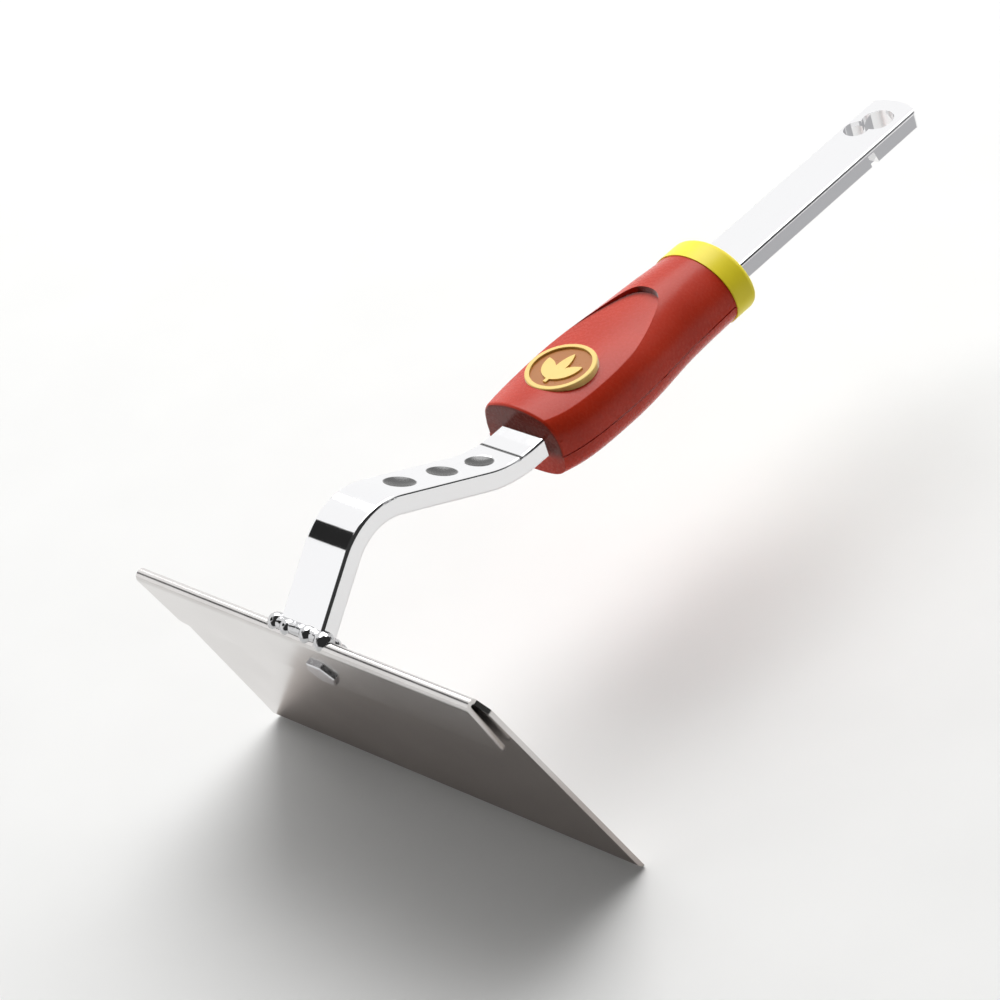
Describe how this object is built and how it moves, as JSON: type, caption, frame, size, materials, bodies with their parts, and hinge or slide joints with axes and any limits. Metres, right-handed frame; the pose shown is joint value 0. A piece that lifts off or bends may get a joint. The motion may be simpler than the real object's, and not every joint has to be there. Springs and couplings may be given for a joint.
{
  "type": "quick-change draw hoe head",
  "caption": "Draw hoe head: trapezoid blade with a folded top edge, welded to a swan-neck flat bar, which a moulded grip housing joins to a keyhole tongue for a snap-in handle.",
  "frame": {"origin": "centre of the latch hole, on the top face of the tongue", "axes": "+X across the tongue, +Y along the tongue towards its free end, +Z out of the tongue's top face"},
  "size_m": [0.1498, 0.2757, 0.1056],
  "materials": {
    "plated_steel": "bright plated flat bar",
    "blade_steel": "plated sheet, satin",
    "weld_metal": "plated weld, rippled",
    "fastener_steel": "zinc plated",
    "red_plastic": "satin moulded",
    "yellow_plastic": "satin moulded",
    "emblem_rim": "gloss",
    "emblem_field": "gloss"
  },
  "bodies": {
    "root": {"tongue_bar": "plated_steel", "neck_bar": "plated_steel", "blade": "blade_steel", "foot_weld": "weld_metal", "hem_bolt": "fastener_steel", "hem_nut": "fastener_steel", "upper_housing": "red_plastic", "lower_housing": "red_plastic", "collar": "yellow_plastic", "emblem_ring": "emblem_rim", "emblem_disc": "emblem_field", "emblem_leaf": "emblem_rim", "housing_screw_1": "fastener_steel", "housing_screw_2": "fastener_steel", "housing_screw_3": "fastener_steel", "housing_screw_4": "fastener_steel", "locking_pin_1": "fastener_steel", "locking_pin_2": "fastener_steel"}
  },
  "joints": []
}
